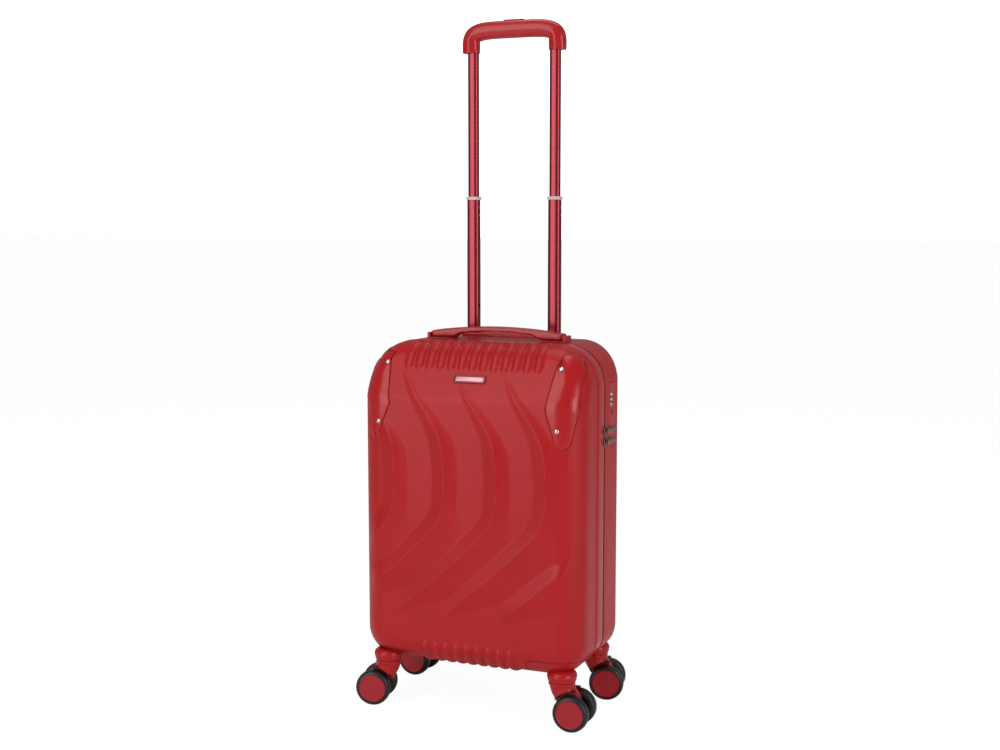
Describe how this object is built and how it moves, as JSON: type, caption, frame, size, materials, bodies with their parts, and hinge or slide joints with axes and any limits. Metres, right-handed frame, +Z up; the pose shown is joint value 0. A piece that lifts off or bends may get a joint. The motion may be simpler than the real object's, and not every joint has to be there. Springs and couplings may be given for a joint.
{
  "type": "hard shell suitcase",
  "caption": "Upright hard shell cabin suitcase with a zipped clamshell, side combination lock, telescopic pull handle, top carry handle and double-wheel swivel casters.",
  "frame": {"origin": "on the floor under the middle of the case, at the wheels' lowest points", "axes": "+Z up, -Y out of the front shell, +X towards the lock side"},
  "size_m": [0.3797, 0.2194, 1.0306],
  "materials": {
    "shell": "satin moulded shell with a fine line texture",
    "trim": "smooth red moulding",
    "guard": "smooth semi-gloss red plate",
    "moulding": "satin red moulding",
    "tyre": "black rubber",
    "wheel_cap": "satin red plastic",
    "steel": "bright steel",
    "screw": "polished steel",
    "badge": "polished plate",
    "tube": "red anodised aluminium",
    "collar": "pale plastic ring",
    "zip_tape": "woven red tape",
    "lining": "woven lining cloth",
    "strap": "woven elastic strap",
    "dial": "bright metal number wheel",
    "lock": "red moulded lock",
    "zip_metal": "antique nickel",
    "grip": "satin red grip"
  },
  "bodies": {
    "rear_half": {"rear_shell": "shell", "rear_zip": "zip_tape", "hinge_strip": "zip_tape", "rear_lining": "lining", "packing_straps": "strap", "rear_wheel_housings": "moulding", "fixed_tubes": "tube", "handle_base": "moulding", "handle_bezel": "moulding", "carry_handle_brackets": "moulding", "lock_body": "lock"},
    "front_half": {"front_shell": "shell", "front_trim_band": "trim", "front_zip": "zip_tape", "front_lining": "lining", "corner_guards": "guard", "corner_guard_screws": "screw", "badge_plate": "badge", "front_wheel_housings": "moulding"},
    "middle_stage": {"middle_tubes": "tube", "tube_collars": "collar"},
    "upper_stage": {"upper_tubes": "tube", "grip": "grip"},
    "release_button": {"release_button": "grip", "push_rods": "steel"},
    "left_lock_pin": {"left_lock_pin": "steel"},
    "right_lock_pin": {"right_lock_pin": "steel"},
    "carry_handle": {"carry_handle": "moulding"},
    "lock_dial_1": {"lock_dial_1": "dial"},
    "lock_dial_2": {"lock_dial_2": "dial"},
    "lock_dial_3": {"lock_dial_3": "dial"},
    "lock_button": {"lock_button": "lock"},
    "upper_zip_slider": {"upper_zip_slider": "zip_metal"},
    "lower_zip_slider": {"lower_zip_slider": "zip_metal"},
    "upper_pull_tab": {"upper_pull_tab": "zip_metal"},
    "lower_pull_tab": {"lower_pull_tab": "zip_metal"},
    "front_left_caster": {"front_left_fork": "moulding", "front_left_axle": "steel"},
    "front_left_outboard_wheel": {"front_left_outboard_tyre": "tyre", "front_left_outboard_hub": "wheel_cap"},
    "front_left_inboard_wheel": {"front_left_inboard_tyre": "tyre", "front_left_inboard_hub": "wheel_cap"},
    "front_right_caster": {"front_right_fork": "moulding", "front_right_axle": "steel"},
    "front_right_outboard_wheel": {"front_right_outboard_tyre": "tyre", "front_right_outboard_hub": "wheel_cap"},
    "front_right_inboard_wheel": {"front_right_inboard_tyre": "tyre", "front_right_inboard_hub": "wheel_cap"},
    "rear_right_caster": {"rear_right_fork": "moulding", "rear_right_axle": "steel"},
    "rear_right_outboard_wheel": {"rear_right_outboard_tyre": "tyre", "rear_right_outboard_hub": "wheel_cap"},
    "rear_right_inboard_wheel": {"rear_right_inboard_tyre": "tyre", "rear_right_inboard_hub": "wheel_cap"},
    "rear_left_caster": {"rear_left_fork": "moulding", "rear_left_axle": "steel"},
    "rear_left_outboard_wheel": {"rear_left_outboard_tyre": "tyre", "rear_left_outboard_hub": "wheel_cap"},
    "rear_left_inboard_wheel": {"rear_left_inboard_tyre": "tyre", "rear_left_inboard_hub": "wheel_cap"}
  },
  "joints": [
    {"name": "case_opening", "type": "hinge", "parent": "rear_half", "child": "front_half", "pos_m": [-0.176, 0.007, 0.3], "axis": [0, 0, -1], "range_deg": [0, 150]},
    {"name": "middle_stage_slide", "type": "slide", "parent": "rear_half", "child": "middle_stage", "axis": [0, 0, 1], "range_m": [-0.2035, 0]},
    {"name": "upper_stage_slide", "type": "slide", "parent": "middle_stage", "child": "upper_stage", "axis": [0, 0, 1], "range_m": [-0.216, 0]},
    {"name": "release_button_press", "type": "slide", "parent": "upper_stage", "child": "release_button", "axis": [0, 0, -1], "range_m": [0, 0.004], "stiffness_N_per_m": 600, "springref_m": -0.004},
    {"name": "left_lock_pin_slide", "type": "slide", "parent": "upper_stage", "child": "left_lock_pin", "axis": [-1, 0, 0], "range_m": [0, 0.003]},
    {"name": "right_lock_pin_slide", "type": "slide", "parent": "upper_stage", "child": "right_lock_pin", "axis": [1, 0, 0], "range_m": [0, 0.003]},
    {"name": "carry_handle_lift", "type": "slide", "parent": "rear_half", "child": "carry_handle", "axis": [0, 0, 1], "range_m": [0, 0.01]},
    {"name": "lock_button_press", "type": "slide", "parent": "rear_half", "child": "lock_button", "axis": [-1, 0, 0], "range_m": [0, 0.0025], "stiffness_N_per_m": 400},
    {"name": "upper_zip_slide", "type": "slide", "parent": "rear_half", "child": "upper_zip_slider", "axis": [0, 0, 1], "range_m": [0, 0.055]},
    {"name": "lower_zip_slide", "type": "slide", "parent": "rear_half", "child": "lower_zip_slider", "axis": [0, 0, 1], "range_m": [-0.275, 0]},
    {"name": "upper_pull_tab_flip", "type": "hinge", "parent": "upper_zip_slider", "child": "upper_pull_tab", "pos_m": [0.1788, 0.007, 0.423], "axis": [0, 0, 1], "range_deg": [-150, 0]},
    {"name": "lower_pull_tab_flip", "type": "hinge", "parent": "lower_zip_slider", "child": "lower_pull_tab", "pos_m": [0.1788, 0.007, 0.4066], "axis": [0, 0, 1], "range_deg": [-150, 0]},
    {"name": "lock_dial_1_turn", "type": "hinge", "parent": "rear_half", "child": "lock_dial_1", "pos_m": [0.1694, 0.04, 0.474], "axis": [0, 0, 1], "continuous": true},
    {"name": "lock_dial_2_turn", "type": "hinge", "parent": "rear_half", "child": "lock_dial_2", "pos_m": [0.1694, 0.04, 0.4666], "axis": [0, 0, 1], "continuous": true},
    {"name": "lock_dial_3_turn", "type": "hinge", "parent": "rear_half", "child": "lock_dial_3", "pos_m": [0.1694, 0.04, 0.4592], "axis": [0, 0, 1], "continuous": true},
    {"name": "front_left_swivel", "type": "hinge", "parent": "front_half", "child": "front_left_caster", "pos_m": [-0.14, -0.074, 0.067], "axis": [0, 0, 1], "continuous": true},
    {"name": "front_left_outboard_wheel_spin", "type": "hinge", "parent": "front_left_caster", "child": "front_left_outboard_wheel", "pos_m": [-0.15904, -0.0777, 0.0265], "axis": [0.1908, -0.9816, 0], "continuous": true},
    {"name": "front_left_inboard_wheel_spin", "type": "hinge", "parent": "front_left_caster", "child": "front_left_inboard_wheel", "pos_m": [-0.15904, -0.0777, 0.0265], "axis": [0.1908, -0.9816, 0], "continuous": true},
    {"name": "front_right_swivel", "type": "hinge", "parent": "front_half", "child": "front_right_caster", "pos_m": [0.14, -0.074, 0.067], "axis": [0, 0, 1], "continuous": true},
    {"name": "front_right_outboard_wheel_spin", "type": "hinge", "parent": "front_right_caster", "child": "front_right_outboard_wheel", "pos_m": [0.15939, -0.07332, 0.0265], "axis": [-0.0349, 0.9994, 0], "continuous": true},
    {"name": "front_right_inboard_wheel_spin", "type": "hinge", "parent": "front_right_caster", "child": "front_right_inboard_wheel", "pos_m": [0.15939, -0.07332, 0.0265], "axis": [-0.0349, 0.9994, 0], "continuous": true},
    {"name": "rear_right_swivel", "type": "hinge", "parent": "rear_half", "child": "rear_right_caster", "pos_m": [0.14, 0.074, 0.067], "axis": [0, 0, 1], "continuous": true},
    {"name": "rear_right_outboard_wheel_spin", "type": "hinge", "parent": "rear_right_caster", "child": "rear_right_outboard_wheel", "pos_m": [0.1589, 0.07836, 0.0265], "axis": [-0.225, 0.9744, 0], "continuous": true},
    {"name": "rear_right_inboard_wheel_spin", "type": "hinge", "parent": "rear_right_caster", "child": "rear_right_inboard_wheel", "pos_m": [0.1589, 0.07836, 0.0265], "axis": [-0.225, 0.9744, 0], "continuous": true},
    {"name": "rear_left_swivel", "type": "hinge", "parent": "rear_half", "child": "rear_left_caster", "pos_m": [-0.14, 0.074, 0.067], "axis": [0, 0, 1], "continuous": true},
    {"name": "rear_left_outboard_wheel_spin", "type": "hinge", "parent": "rear_left_caster", "child": "rear_left_outboard_wheel", "pos_m": [-0.15939, 0.07468, 0.0265], "axis": [-0.0349, -0.9994, 0], "continuous": true},
    {"name": "rear_left_inboard_wheel_spin", "type": "hinge", "parent": "rear_left_caster", "child": "rear_left_inboard_wheel", "pos_m": [-0.15939, 0.07468, 0.0265], "axis": [-0.0349, -0.9994, 0], "continuous": true}
  ],
  "couplings": [
    {"joint": "left_lock_pin_slide", "follows": "release_button_press", "ratio": 0.75},
    {"joint": "right_lock_pin_slide", "follows": "release_button_press", "ratio": 0.75}
  ]
}
